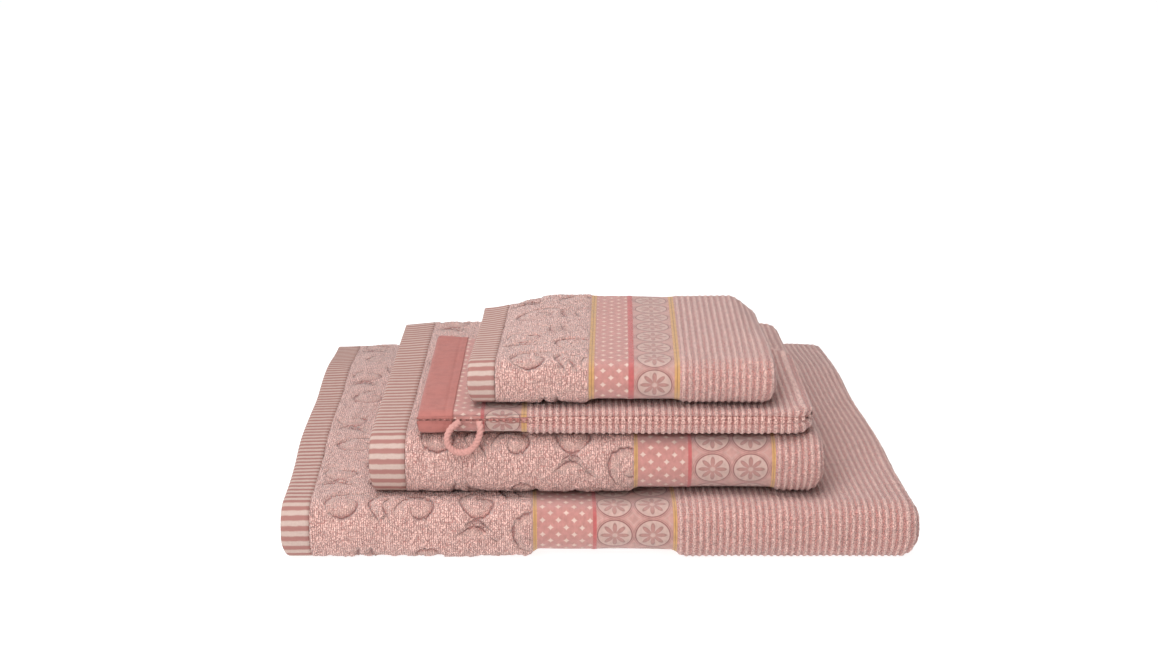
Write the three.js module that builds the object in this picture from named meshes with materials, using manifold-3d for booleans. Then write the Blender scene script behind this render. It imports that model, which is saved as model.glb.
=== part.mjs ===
// A folded bath towel set: a bath towel, a hand towel, a wash mitt and a guest towel in one stack.
// Units are millimetres, +Z is up, +X is to the right and the folded fronts face -Y.
//
// Every towel is one strip of terry cloth. It is first folded along its length into a packet of
// layers, and the packet is then folded in half across the towel's width, so that the front is one
// rounded roll and the selvedges lie one above another at the back.
// The mitt is two terry panels with a stitched seam between them on three sides and a woven cuff
// on each panel at the open end. A thin cord loop is sewn into its front seam.
import * as THREE from 'three';
import Module from 'manifold-3d';
import { mergeVertices } from 'three/addons/utils/BufferGeometryUtils.js';

// Clearance between pieces that touch, and between the layers inside one folded towel.
const CLEARANCE = 0.3;
const LAYER_GAP = 0.3;

// Towels: cut size, number of packet layers, cloth thickness, width of the striped end hem.
// setBack is how far the front roll stands behind the bath towel's, shiftX moves the towel along X,
// and lean is the sideways drift of the fold per millimetre of depth.
const BATH = {
  length: 1400, width: 700, packetLayers: 4, cloth: 3.9, hem: 16,
  setBack: 0, shiftX: 0, lean: -0.03,
};
const HAND = {
  length: 1000, width: 500, packetLayers: 4, cloth: 4.05, hem: 20,
  setBack: 12, shiftX: -1, lean: -0.005,
};
const GUEST = {
  length: 500, width: 300, packetLayers: 3, cloth: 4.15, hem: 15,
  setBack: 17, shiftX: 12, lean: 0.02,
};
const HEM_THICKNESS_SHARE = 0.86; // a doubled woven hem is a little thinner than the looped pile
const SECOND_HEM_INSET = 4;       // the under layer's hem stops this far inside the upper one
const TUCK_CLEARANCE = 2;         // a tucked end stops this far short of the fold that holds it
const BACK_STAGGER = 0.5;         // share of the fold's extra length that shows as stepped edges
// Order in which a strip visits its packet's layers, from the end that shows. Layers are counted
// from the inside of the half fold, and runs go right, left, right, left.
const LAYER_ORDER = { 4: [3, 0, 1, 2], 3: [2, 0, 1] };

// Wash mitt.
// width is at the cuff and tipWidth at the closed end, where the back edge has slanted inwards.
// edgeRound is the radius on the sewn edges and seam the width of the stitching inside them.
const MITT = {
  length: 219, width: 155, tipWidth: 122, panel: 5, pocket: 6.2, cuff: 19, corner: 14, edgeRound: 2.2,
  setBack: 16, shiftX: 9, seam: 3.2,
};

// Hanging loop: cord diameter, and its route from the seam, down in front of the roll and back.
// Points are [x from the mitt's left end, y in front of the mitt, z from the middle of the seam].
const LOOP_DIAMETER = 3.6;
const LOOP_ROUTE = [
  [23.5, 0, 1.6], [21.5, -1.5, 0.5], [19.2, -2.5, -1.2], [17.4, -3.1, -4.0], [16.7, -3.4, -7.4],
  [17.6, -3.6, -10.9], [20.2, -3.8, -13.6], [23.9, -3.9, -14.8], [27.7, -3.9, -14.2],
  [30.9, -3.8, -12.0], [33.1, -3.6, -8.9], [34.5, -3.2, -5.4], [35.1, -2.5, -2.4],
  [34.9, -1.5, -0.2], [34.4, 0, 1.6],
];
const CORD_SIDES = 8;
const CORD_STEPS = 26;

// Facets.
const TURN_STEPS = 6;   // facets on the outside of a fold between two layers
const ROLL_STEPS = 12;  // facets around the front roll
const CORNER_STEPS = 5; // facets on a rounded corner
const EDGE_STEPS = 2;   // facets on a panel's rounded edge

const COLOURS = {
  terry: 0xe3b3a8, hem: 0xd79a90, cuff: 0xc98980, seam: 0xd8a59a, cord: 0xdb9f95,
};

const wasm = await Module();
wasm.setup();

// ---- meshes and solids ----------------------------------------------------

function material(colour) {
  return new THREE.MeshStandardMaterial({ color: colour, roughness: 0.95, metalness: 0 });
}

function namedMesh(name, geometry, colour) {
  const mesh = new THREE.Mesh(geometry, material(colour));
  mesh.name = name;
  return mesh;
}

function toSolid(geometry) {
  const bare = geometry.clone();
  bare.deleteAttribute('normal');
  bare.deleteAttribute('uv');
  const merged = mergeVertices(bare);
  return new wasm.Manifold(new wasm.Mesh({
    numProp: 3,
    vertProperties: new Float32Array(merged.attributes.position.array),
    triVerts: new Uint32Array(merged.index.array),
  }));
}

function toGeometry(solid) {
  const { vertProperties, triVerts } = solid.getMesh();
  const geometry = new THREE.BufferGeometry();
  geometry.setAttribute('position', new THREE.BufferAttribute(new Float32Array(vertProperties), 3));
  geometry.setIndex(new THREE.BufferAttribute(new Uint32Array(triVerts), 1));
  geometry.computeVertexNormals();
  return geometry;
}

// ---- folded towels --------------------------------------------------------

// Sizes that follow from how a towel is folded. The strip's length is spent on its flat runs and
// on its turns, which gives the folded width.
function foldSizes(towel) {
  const order = LAYER_ORDER[towel.packetLayers];
  const runs = order.length;
  const pitch = towel.cloth + LAYER_GAP;
  const half = towel.cloth / 2;
  const packet = runs * pitch - LAYER_GAP;
  const turnRadii = order.slice(1).map((layer, index) => Math.abs(layer - order[index]) * pitch / 2);
  const outerTurn = turnRadii[0];
  const innerTurn = turnRadii[1];
  const turnLength = Math.PI * turnRadii.reduce((sum, radius) => sum + radius);
  // Every run stops short at the right for the outer turn, and two do at the left for the inner.
  const endsLeft = runs % 2 === 0;
  const shortened = runs * (outerTurn + half) + 2 * (innerTurn + half)
    + (endsLeft ? SECOND_HEM_INSET : TUCK_CLEARANCE);
  const foldedWidth = (towel.length + shortened - turnLength) / runs;
  return {
    order, endsLeft, pitch, packet,
    halfThickness: packet + LAYER_GAP / 2,
    left: -foldedWidth / 2,
    turnLeft: -foldedWidth / 2 + innerTurn + half,
    turnRight: foldedWidth / 2 - outerTurn - half,
    // Distance from the roll's axis to the selvedge of the middle of the packet.
    flatDepth: towel.width / 2 - Math.PI / 2 * (packet / 2),
  };
}

function layerHeight(sizes, layer) {
  return (layer + 0.5) * sizes.pitch - LAYER_GAP / 2;
}

// The two edges of the inner hem: its free edge and the edge sewn to the cloth.
function innerHemEdges(towel, sizes) {
  const outer = sizes.endsLeft ? sizes.left + SECOND_HEM_INSET : sizes.turnRight - TUCK_CLEARANCE;
  return { outer, inner: outer + (sizes.endsLeft ? 1 : -1) * towel.hem };
}

// Points of one half turn between two layers. Each point carries the direction of the strip's left
// side, which faces out of a turn that runs clockwise.
function turnPoints(sizes, centreX, fromLayer, toLayer, bulge) {
  const from = layerHeight(sizes, fromLayer);
  const to = layerHeight(sizes, toLayer);
  const radius = Math.abs(from - to) / 2;
  const start = Math.sign(from - to);
  const left = bulge * start;
  const points = [];
  for (let step = 1; step < TURN_STEPS; step += 1) {
    const angle = Math.PI * step / TURN_STEPS;
    const outX = bulge * Math.sin(angle);
    const outH = start * Math.cos(angle);
    points.push({
      x: centreX + radius * outX, h: (from + to) / 2 + radius * outH,
      nx: left * outX, nh: left * outH,
    });
  }
  return points;
}

// Middle line of the strip in the packet's section, from the hem that shows to the inner hem.
function stripMiddleLine(towel, sizes) {
  const inner = innerHemEdges(towel, sizes).inner + (sizes.endsLeft ? 1 : -1) * CLEARANCE;
  const points = [];
  sizes.order.forEach((layer, index) => {
    const toRight = index % 2 === 0;
    const last = index === sizes.order.length - 1;
    const startTurn = toRight ? sizes.turnLeft : sizes.turnRight;
    const endTurn = toRight ? sizes.turnRight : sizes.turnLeft;
    const fromX = index === 0 ? sizes.left + towel.hem + CLEARANCE : startTurn;
    const toX = last ? inner : endTurn;
    const side = toRight ? 1 : -1;
    const height = layerHeight(sizes, layer);
    points.push({ x: fromX, h: height, nx: 0, nh: side }, { x: toX, h: height, nx: 0, nh: side });
    if (!last) points.push(...turnPoints(sizes, endTurn, layer, sizes.order[index + 1], side));
  });
  return points;
}

// Closed outline of the strip: its left side one way and its right side back again.
function stripSection(towel, sizes) {
  const middle = stripMiddleLine(towel, sizes);
  const half = towel.cloth / 2;
  const leftSide = middle.map((p) => new THREE.Vector2(p.x + half * p.nx, p.h + half * p.nh));
  const rightSide = middle.map((p) => new THREE.Vector2(p.x - half * p.nx, p.h - half * p.nh));
  return new THREE.Shape([...leftSide, ...rightSide.reverse()]);
}

// Outline of a hem: a flat strip with a rounded free edge at outerX. The hem of the layer that
// shows lies flush with that layer's outside, and an inner hem lies in the middle of its layer.
function hemSection(towel, sizes, layer, outerX, innerX) {
  const radius = towel.cloth * HEM_THICKNESS_SHARE / 2;
  const shows = layer === sizes.order[0];
  const height = layerHeight(sizes, layer) + (shows ? towel.cloth / 2 - radius : 0);
  const inward = Math.sign(innerX - outerX);
  const shape = new THREE.Shape();
  shape.moveTo(innerX, height - radius);
  shape.lineTo(innerX, height + radius);
  for (let step = 0; step <= CORNER_STEPS; step += 1) {
    const angle = Math.PI / 2 + Math.PI * step / CORNER_STEPS;
    shape.lineTo(outerX + inward * radius * (1 + Math.cos(angle)), height + radius * Math.sin(angle));
  }
  shape.closePath();
  return shape;
}

// Carries a packet section round the half fold. A point at height h above the fold's middle plane
// goes along the top from the selvedge to the front, round the roll on radius h, and back along
// the bottom. The roll's axis is at depth halfThickness behind the front.
function foldInHalf(shape, towel, sizes) {
  const steps = ROLL_STEPS + 2;
  const geometry = new THREE.ExtrudeGeometry(shape, { depth: steps, steps, bevelEnabled: false });
  const position = geometry.attributes.position;
  for (let i = 0; i < position.count; i += 1) {
    const step = Math.round(position.getZ(i));
    const radius = position.getY(i) + LAYER_GAP / 2;
    const stagger = BACK_STAGGER * Math.PI / 2 * (position.getY(i) - sizes.packet / 2);
    const angle = Math.PI * THREE.MathUtils.clamp((step - 1) / ROLL_STEPS, 0, 1);
    const atSelvedge = step === 0 || step === steps;
    const depth = atSelvedge ? sizes.flatDepth - stagger : -radius * Math.sin(angle);
    const y = sizes.halfThickness + depth;
    const z = sizes.halfThickness + radius * Math.cos(angle);
    position.setXYZ(i, position.getX(i) + towel.lean * y, y, z);
  }
  geometry.computeVertexNormals();
  return geometry;
}

// One towel: its cloth, the hem that shows and the inner hem. Its own base is at z = 0.
function foldedTowel(prefix, towel) {
  const sizes = foldSizes(towel);
  const showing = sizes.order[0];
  const hidden = sizes.order[sizes.order.length - 1];
  const innerEdges = innerHemEdges(towel, sizes);
  const cloth = stripSection(towel, sizes);
  const outerHem = hemSection(towel, sizes, showing, sizes.left, sizes.left + towel.hem);
  const innerHem = hemSection(towel, sizes, hidden, innerEdges.outer, innerEdges.inner);
  const group = new THREE.Group();
  group.add(
    namedMesh(`${prefix}_cloth`, foldInHalf(cloth, towel, sizes), COLOURS.terry),
    namedMesh(`${prefix}_outer_end_hem`, foldInHalf(outerHem, towel, sizes), COLOURS.hem),
    namedMesh(`${prefix}_inner_end_hem`, foldInHalf(innerHem, towel, sizes), COLOURS.hem),
  );
  group.position.set(towel.shiftX, towel.setBack, 0);
  return group;
}

function towelThickness(towel) {
  return 2 * foldSizes(towel).halfThickness;
}

// ---- wash mitt ------------------------------------------------------------

// The mitt's outline seen from above, with its left end square, two round corners at its closed
// end and a straight slanting back edge. inset pulls its three sewn sides in.
function mittOutline(inset) {
  const slant = Math.atan((MITT.width - MITT.tipWidth) / MITT.length);
  const right = MITT.length - inset;
  const radius = MITT.corner - inset;
  const cornerX = right - radius;
  const backAt = (x, offset) => MITT.width - x * Math.tan(slant) - offset / Math.cos(slant);
  const shape = new THREE.Shape();
  shape.moveTo(0, inset);
  shape.lineTo(cornerX, inset);
  shape.absarc(cornerX, inset + radius, radius, -Math.PI / 2, 0, false);
  shape.absarc(cornerX, backAt(cornerX, inset + radius), radius, 0, Math.PI / 2 - slant, false);
  shape.lineTo(0, backAt(0, inset));
  shape.closePath();
  return shape;
}

function slab(shape, bottom, top) {
  const geometry = new THREE.ExtrudeGeometry(shape, {
    depth: top - bottom, bevelEnabled: false, curveSegments: CORNER_STEPS,
  });
  geometry.translate(0, 0, bottom);
  return geometry;
}

// A panel slab whose sewn edges are rounded over towards the outside face, in stacked slices. Each
// slice is inset by the round at the level where it starts, and the face's own slice by half.
function panelSolid(bottom, top, outsideUp) {
  const round = MITT.edgeRound;
  const solids = [];
  for (let step = 0; step <= EDGE_STEPS; step += 1) {
    const fromFace = round * step / EDGE_STEPS;
    const toFace = step < EDGE_STEPS ? round * (step + 1) / EDGE_STEPS : top - bottom;
    const inset = round - Math.sqrt(round ** 2 - (round - fromFace) ** 2);
    const sliceInset = step === 0 ? inset / 2 : inset;
    const low = outsideUp ? top - toFace : bottom + fromFace;
    const high = outsideUp ? top - fromFace : bottom + toFace;
    solids.push(toSolid(slab(mittOutline(sliceInset), low, high)));
  }
  return solids.reduce((sum, solid) => sum.add(solid));
}

// The part of a mitt solid between two X planes.
function between(solid, fromX, toX) {
  const box = new THREE.BoxGeometry(toX - fromX, 2 * MITT.width, 2 * mittThickness());
  box.translate((fromX + toX) / 2, MITT.width / 2, 0);
  return toGeometry(solid.intersect(toSolid(box)));
}

// The stitched seam: a bar inside the three sewn sides, as high as the pocket.
function seamGeometry(bottom, top) {
  const outer = toSolid(slab(mittOutline(CLEARANCE), bottom, top));
  const inner = toSolid(slab(mittOutline(CLEARANCE + MITT.seam), bottom - 1, top + 1));
  return toGeometry(outer.subtract(inner));
}

function loopGeometry() {
  const middle = mittThickness() / 2;
  const route = LOOP_ROUTE.map(([x, y, z]) => new THREE.Vector3(x, y - LOOP_DIAMETER / 2 - CLEARANCE,
    middle + z));
  const section = new THREE.Shape();
  for (let side = 0; side < CORD_SIDES; side += 1) {
    const angle = 2 * Math.PI * side / CORD_SIDES;
    const x = LOOP_DIAMETER / 2 * Math.cos(angle);
    const y = LOOP_DIAMETER / 2 * Math.sin(angle);
    if (side === 0) section.moveTo(x, y);
    else section.lineTo(x, y);
  }
  section.closePath();
  return new THREE.ExtrudeGeometry(section, {
    steps: CORD_STEPS, bevelEnabled: false, extrudePath: new THREE.CatmullRomCurve3(route),
  });
}

function mittThickness() {
  return 2 * MITT.panel + MITT.pocket;
}

function washMitt() {
  const total = mittThickness();
  const half = MITT.pocket / 2;
  const upper = panelSolid(half, half + MITT.panel, true);
  const lower = panelSolid(-half - MITT.panel, -half, false);
  const group = new THREE.Group();
  const body = new THREE.Group();
  const panelStart = MITT.cuff + CLEARANCE;
  body.add(
    namedMesh('mitt_upper_panel', between(upper, panelStart, MITT.length), COLOURS.terry),
    namedMesh('mitt_lower_panel', between(lower, panelStart, MITT.length), COLOURS.terry),
    namedMesh('mitt_upper_cuff', between(upper, 0, MITT.cuff), COLOURS.cuff),
    namedMesh('mitt_lower_cuff', between(lower, 0, MITT.cuff), COLOURS.cuff),
    namedMesh('mitt_overlocked_seam', seamGeometry(CLEARANCE - half, half - CLEARANCE), COLOURS.seam),
  );
  body.position.z = total / 2;
  group.add(body, namedMesh('mitt_hanging_loop', loopGeometry(), COLOURS.cord));
  group.position.set(MITT.shiftX - MITT.length / 2, MITT.setBack, 0);
  return group;
}

// ---- stack ----------------------------------------------------------------

const group = new THREE.Group();
const stack = [
  { item: foldedTowel('bath_towel', BATH), thickness: towelThickness(BATH) },
  { item: foldedTowel('hand_towel', HAND), thickness: towelThickness(HAND) },
  { item: washMitt(), thickness: mittThickness() },
  { item: foldedTowel('guest_towel', GUEST), thickness: towelThickness(GUEST) },
];
let base = 0;
for (const { item, thickness } of stack) {
  item.position.z = base;
  base += thickness + CLEARANCE;
  group.add(item);
}

// The origin is the bottom centre of the stack's box, without the loop.
const box = new THREE.Box3();
group.updateMatrixWorld(true);
group.traverse((object) => {
  if (object.isMesh && object.name !== 'mitt_hanging_loop') box.expandByObject(object, true);
});
const centre = box.getCenter(new THREE.Vector3());
group.position.set(-centre.x, -centre.y, -box.min.z);

export default group;
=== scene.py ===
"""Looks of a folded bath towel set: bath towel, hand towel, wash mitt with its loop, guest towel.

Every cloth is one closed surface worked out from two parameters: the length along the strip and the
row round the half fold. The strip is laid in its folded packet, the packet is carried round the
front roll, and the pile, the ribs and the woven bands stand out of that surface as real relief.
All sizes are in metres, in the frame of the CAD model.
"""
import math
from types import SimpleNamespace

import bpy
import numpy as np
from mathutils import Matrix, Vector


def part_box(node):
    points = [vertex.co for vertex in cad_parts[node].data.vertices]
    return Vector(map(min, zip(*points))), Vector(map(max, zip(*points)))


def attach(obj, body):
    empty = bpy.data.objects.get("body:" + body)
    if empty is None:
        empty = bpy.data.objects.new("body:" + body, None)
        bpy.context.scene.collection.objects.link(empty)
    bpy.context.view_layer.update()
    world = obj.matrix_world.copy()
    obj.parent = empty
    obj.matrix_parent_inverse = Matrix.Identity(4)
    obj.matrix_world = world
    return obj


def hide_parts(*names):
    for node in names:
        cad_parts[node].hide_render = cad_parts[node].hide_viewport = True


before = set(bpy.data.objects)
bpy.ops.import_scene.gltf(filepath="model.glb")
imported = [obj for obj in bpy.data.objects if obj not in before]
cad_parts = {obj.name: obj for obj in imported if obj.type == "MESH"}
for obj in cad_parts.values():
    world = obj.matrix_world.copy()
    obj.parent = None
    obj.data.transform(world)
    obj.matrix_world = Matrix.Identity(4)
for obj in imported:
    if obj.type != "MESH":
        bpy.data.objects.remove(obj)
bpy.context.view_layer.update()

MM = 0.001
GAP = 0.3 * MM                # between touching layers and pieces
RANDOM_SEED = 7

# Woven design that the whole set shares.
STRIPE = 5.9 * MM             # one coral and one cream stripe of a hem
RIB = 3.65 * MM               # pitch of the ribbed pile
DOT = 4.37 * MM               # pitch of the woven dots
CIRCLE = 21.0 * MM            # pitch of the woven flower circles
WALE = 1.2 * MM               # pitch of the pile's columns of loops
LOOP_HEIGHT = 1.2 * MM        # size of one loop of pile down its column
SMALL_LOOP = (0.9 * MM, 1.0 * MM)   # size of the loops on a rib
SCROLLS_END = 0.25            # no scrolls this far along a strip, where it is out of sight

# How the strips are folded. The layers that a strip's runs lie in, in order along it, are counted
# out from the middle of the half fold.
LAYER_ORDER = {4: (3, 0, 1, 2), 3: (2, 0, 1)}
BACK_STAGGER = 0.5            # share of its longer way round that an outer layer lacks at the back
SECOND_HEM_INSET = 4 * MM     # the inner end's hem lies this far in from the fold's left edge
TUCK_CLEARANCE = 2 * MM       # or, tucked into three layers, this far in from the right turn
HEM_THICKNESS_SHARE = 0.86    # of the cloth's thickness
HEM_FLATTENED = 0.92          # height of a hem between its stripes, as a share of the whole


def give(back, back_from, left, left_from, right, right_from, band, sway=1.2 * MM):
    """How far a towel sinks at its back, left and right ends, from which share of the way, how far
    its band draws up underneath, and how much its ends wander."""
    return SimpleNamespace(
        back=back, back_from=back_from, left=left, left_from=left_from, right=right,
        right_from=right_from, band=band, sway=sway,
    )


def band(terry_end, dots, coral, flowers, ribs, first_dot, first_circle, gold=2.5 * MM):
    """Where a cloth's woven zones begin, as lengths from its end: gold line, dots, coral line,
    flower circles, gold line and ribs."""
    return SimpleNamespace(
        terry_end=terry_end, gold=gold, dots=dots, coral=coral, flowers=flowers, ribs=ribs,
        first_dot=first_dot, first_circle=first_circle,
    )


BATH = SimpleNamespace(
    name="bath_towel", length=1.4, width=0.7, layers=4, cloth=3.9 * MM, hem=16 * MM, lean=-0.03,
    squareness=0.8, phase=0.0, near=1.05 * MM, far=3.2 * MM,
    give=give(8 * MM, 0.70, 2 * MM, 0.75, 1 * MM, 0.85, band=3 * MM),
    band=band(0.1398, 0.1425, 0.1730, 0.1750, 0.2196, 0.1452, 0.1850),
)
HAND = SimpleNamespace(
    name="hand_towel", length=1.0, width=0.5, layers=4, cloth=4.05 * MM, hem=20 * MM, lean=-0.005,
    squareness=0.9, phase=0.4, near=0.95 * MM, far=2.2 * MM,
    give=give(1 * MM, 0.70, 2 * MM, 0.75, 2 * MM, 0.8, band=1 * MM),
    band=band(0.1464, 0.1490, 0.1765, 0.1785, 0.2250, 0.1515, 0.1900),
)
GUEST = SimpleNamespace(
    name="guest_towel", length=0.5, width=0.3, layers=3, cloth=4.15 * MM, hem=15 * MM, lean=0.02,
    squareness=0.95, phase=0.7, near=0.85 * MM, far=1.3 * MM,
    give=give(0.5 * MM, 0.70, 9 * MM, 0.45, 10 * MM, 0.78, band=1 * MM),
    band=band(0.0665, 0.0708, 0.0885, 0.0915, 0.1170, 0.0745, 0.1028, gold=3.4 * MM),
)
MITT = SimpleNamespace(
    name="mitt", panel=5 * MM, cuff=19 * MM, corner=14 * MM, tip_width=122 * MM,
    band=band(0.0, 0.0190, 0.0350, 0.0370, 0.0606, 0.0210, 0.0470, gold=3.4 * MM),
)

# Hanging loop, from the mitt's left end, its front and the middle of its seam.
LOOP_DIAMETER = 3.6 * MM
LOOP_ROUTE_MM = [
    (23.5, 0, 1.6), (21.5, -1.5, 0.5), (19.2, -2.5, -1.2), (17.4, -3.1, -4.0), (16.7, -3.4, -7.4),
    (17.6, -3.6, -10.9), (20.2, -3.8, -13.6), (23.9, -3.9, -14.8), (27.7, -3.9, -14.2),
    (30.9, -3.8, -12.0), (33.1, -3.6, -8.9), (34.5, -3.2, -5.4), (35.1, -2.5, -2.4),
    (34.9, -1.5, -0.2), (34.4, 0, 1.6),
]
LOOP_STRANDS = 3
LOOP_TWIST = 7 * MM           # length of one full turn of the strands

ROOM_LIGHT = 0.38             # strength of the even white light from all round
FLOOR_SIZE = 60.0
FLOOR_DROP = 0.0002           # the floor lies this far under the stack
FLOOR_GREY = 0.35
FLOOR_GLOW = 0.85             # a light table, so that the floor stays as pale as its surroundings
EXPOSURE = 1.18               # the studio is this much brighter than the colours are given for

# Camera, at the angle of a tabletop product view.
CAMERA_LENS = 57.2
CAMERA_X = -5.9 * MM
CAMERA_AHEAD = 0.943          # in front of the bath towel's roll
CAMERA_HEIGHT = 0.403
CAMERA_PITCH = 15.77


# ---- camera, light and floor ------------------------------------------------

def make_camera():
    """Camera in front of the stack, a little above it and looking down."""
    data = bpy.data.cameras.new("camera")
    data.lens = CAMERA_LENS
    camera = bpy.data.objects.new("camera", data)
    bpy.context.collection.objects.link(camera)
    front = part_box("bath_towel_cloth")[0][1]
    camera.location = (CAMERA_X, front - CAMERA_AHEAD, CAMERA_HEIGHT)
    camera.rotation_euler = (math.radians(90 - CAMERA_PITCH), 0, 0)
    bpy.context.scene.camera = camera


def area_light(name, place, aim, size, power):
    """Square soft box at place, pointing at aim."""
    data = bpy.data.lights.new(name, "AREA")
    data.shape = "SQUARE"
    data.size = size
    data.energy = power
    light = bpy.data.objects.new(name, data)
    bpy.context.collection.objects.link(light)
    light.location = place
    direction = np.array(aim) - np.array(place)
    light.rotation_euler = (
        math.pi - math.acos(direction[2] / np.linalg.norm(direction)),
        0,
        math.atan2(direction[1], direction[0]) - math.pi / 2,
    )


def make_studio():
    """White room light, a soft box above, and a weaker one in front and to the left."""
    world = bpy.data.worlds.new("studio")
    world.use_nodes = True
    background = world.node_tree.nodes["Background"]
    background.inputs["Color"].default_value = (1, 1, 1, 1)
    background.inputs["Strength"].default_value = ROOM_LIGHT
    bpy.context.scene.world = world
    area_light("top_softbox", (-0.2, -0.45, 1.5), (0, -0.05, 0.05), 1.0, 18)
    area_light("front_softbox", (-0.6, -1.45, 0.85), (0, -0.1, 0.05), 0.8, 12)
    floor_material = bpy.data.materials.new("pale_floor")
    floor_material.use_nodes = True
    shader = floor_material.node_tree.nodes["Principled BSDF"]
    shader.inputs["Base Color"].default_value = (FLOOR_GREY, FLOOR_GREY, FLOOR_GREY, 1)
    shader.inputs["Roughness"].default_value = 0.9
    shader.inputs["Emission Color"].default_value = (1, 1, 1, 1)
    shader.inputs["Emission Strength"].default_value = FLOOR_GLOW
    bpy.ops.mesh.primitive_plane_add(size=FLOOR_SIZE, location=(0, 0, -FLOOR_DROP))
    floor = bpy.context.object
    floor.name = "floor"
    floor.data.materials.append(floor_material)
    bpy.context.scene.view_settings.view_transform = "Standard"


# ---- meshes -----------------------------------------------------------------

def signed_volume(points, faces):
    """Six times the volume under a block of faces, each split into a fan from its first corner."""
    first = points[faces[:, 0]]
    total = 0.0
    for corner in range(1, faces.shape[1] - 1):
        second, third = points[faces[:, corner]], points[faces[:, corner + 1]]
        total += float((first * np.cross(second, third)).sum())
    return total


def make_mesh(name, points, faces, uv, attributes=None):
    """Mesh object of a closed surface, from points (n, 3), a list of face index arrays and uv
    (n, 2) per point. Faces that enclose a negative volume are all turned round."""
    inside_out = sum(signed_volume(points, block) for block in faces) < 0
    if inside_out:
        faces = [block[:, ::-1] for block in faces]
    mesh = bpy.data.meshes.new(name)
    mesh.from_pydata(points.tolist(), [], [face for block in faces for face in block.tolist()])
    corners = np.empty(len(mesh.loops), dtype=np.int32)
    mesh.loops.foreach_get("vertex_index", corners)
    layer = mesh.uv_layers.new(name="cloth")
    layer.uv.foreach_set("vector", uv[corners].astype(np.float32).ravel())
    for key, values in (attributes or {}).items():
        attribute = mesh.attributes.new(key, "FLOAT", "POINT")
        attribute.data.foreach_set("value", values.astype(np.float32))
    mesh.polygons.foreach_set("use_smooth", np.ones(len(mesh.polygons), dtype=bool))
    mesh.update()
    piece = bpy.data.objects.new(name, mesh)
    bpy.context.collection.objects.link(piece)
    return piece


def grid_faces(rows, columns, wrap):
    """Quads of a grid whose points run row by row. wrap joins the last column to the first."""
    row = np.arange(rows - 1)[:, None]
    column = np.arange(columns if wrap else columns - 1)[None, :]
    following = (column + 1) % columns
    quads = np.stack([
        row * columns + column,
        row * columns + following,
        (row + 1) * columns + following,
        (row + 1) * columns + column,
    ], axis=-1)
    return quads.reshape(-1, 4)


def zipper(upper, lower, upper_at, lower_at):
    """Triangles between two rows of points with different spacing. Each upper edge goes to the
    lower point nearest its middle, and each lower edge to the upper point where that changes."""
    middles = (lower_at[1:] + lower_at[:-1]) / 2
    nearest = np.searchsorted(middles, (upper_at[1:] + upper_at[:-1]) / 2)
    first = np.stack([upper[:-1], upper[1:], lower[nearest]], axis=-1)
    owner = np.searchsorted(nearest, np.arange(1, len(lower_at)))
    second = np.stack([upper[owner], lower[1:], lower[:-1]], axis=-1)
    return np.concatenate([first, second])


def closed_shell(name, outer, inner, outer_at, inner_at, outer_uv, inner_uv, outer_values):
    """Closed surface of an outer and an inner grid with the same rows: each row is a loop out along
    one and back along the other, and the first and last rows are closed. Values of the outer grid
    that the mesh carries, such as the pile, keep their last column's on the inner one."""
    rows, width = outer.shape[:2]
    columns = width + inner.shape[1]
    points = np.concatenate([outer, inner[:, ::-1]], axis=1)
    uv = np.concatenate([outer_uv, inner_uv[:, ::-1]], axis=1)
    cap = zipper(np.arange(width), columns - 1 - np.arange(inner.shape[1]), outer_at, inner_at)
    faces = [grid_faces(rows, columns, True), cap[:, ::-1], cap + (rows - 1) * columns]
    values = {key: np.concatenate([value, np.repeat(value[:, -1:], inner.shape[1], axis=1)],
                                  axis=1).ravel()
              for key, value in outer_values.items()}
    return make_mesh(name, points.reshape(-1, 3), faces, uv.reshape(-1, 2), values)


def steady_axis(route, axis):
    """Unit direction of a route at each point, and the unit direction across it that is nearest to
    a fixed axis: the axis less its part along the route."""
    tangent = np.gradient(route, axis=0)
    tangent /= np.linalg.norm(tangent, axis=1)[:, None]
    axis = np.array(axis)
    across = axis - tangent * (tangent @ axis)[:, None]
    across /= np.linalg.norm(across, axis=1)[:, None]
    return tangent, across


def closed_tube(name, route, first, second, radius, u, round_size):
    """Closed tube round a route: at each step a ring in the plane of the first and second
    directions, with one radius per step and side. The texture's place is u along it, and the
    angle times round_size about it."""
    rows, sides = radius.shape
    angle = np.linspace(0, 2 * math.pi, sides, endpoint=False)
    ring = (np.cos(angle)[None, :, None] * first[:, None, :]
            + np.sin(angle)[None, :, None] * second[:, None, :])
    points = route[:, None, :] + radius[..., None] * ring
    ends = np.arange(sides)[None, :]
    faces = [grid_faces(rows, sides, True), ends[:, ::-1], ends + (rows - 1) * sides]
    uv = np.stack(np.broadcast_arrays(u[:, None], angle[None, :] * round_size), -1)
    return make_mesh(name, points.reshape(-1, 3), faces, uv.reshape(-1, 2))


# ---- the folded strip -------------------------------------------------------

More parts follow.
